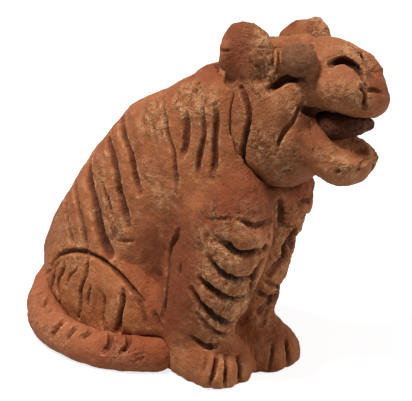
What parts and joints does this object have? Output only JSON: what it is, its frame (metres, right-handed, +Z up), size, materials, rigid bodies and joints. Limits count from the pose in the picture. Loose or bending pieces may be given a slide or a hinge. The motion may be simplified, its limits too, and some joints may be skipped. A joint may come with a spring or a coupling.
{
  "type": "terracotta cat figurine",
  "caption": "Hand-modelled terracotta figurine of a big cat sitting upright with its mouth open, with stripes cut into its flanks, its tail laid round its right side and a flat hollow base.",
  "frame": {"origin": "under the middle of the figure's bounding box, on the surface that it stands on", "axes": "+Z up; the figure faces -Y, so its left side is +X and its right side, where the tail lies, is -X"},
  "size_m": [0.1158, 0.2205, 0.1948],
  "materials": {
    "fired_clay": "matt unglazed red terracotta",
    "fired_clay_tail": "matt unglazed red terracotta, rubbed lighter",
    "fired_clay_haunch": "matt unglazed red terracotta, rubbed lighter",
    "fired_clay_eye": "matt unglazed terracotta, fired greyer",
    "fired_clay_tongue": "matt unglazed terracotta, darker inside the mouth"
  },
  "bodies": {
    "root": {"trunk": "fired_clay", "tail": "fired_clay_tail", "right_foreleg": "fired_clay", "right_front_paw": "fired_clay", "right_haunch": "fired_clay_haunch", "right_hind_paw": "fired_clay", "left_foreleg": "fired_clay", "left_front_paw": "fired_clay", "left_haunch": "fired_clay_haunch", "left_hind_paw": "fired_clay", "head": "fired_clay", "lower_jaw": "fired_clay", "tongue": "fired_clay_tongue", "nose_bridge": "fired_clay", "right_eye": "fired_clay_eye", "left_eye": "fired_clay_eye", "right_ear": "fired_clay", "left_ear": "fired_clay", "right_whisker_pad": "fired_clay", "left_whisker_pad": "fired_clay"}
  },
  "joints": []
}
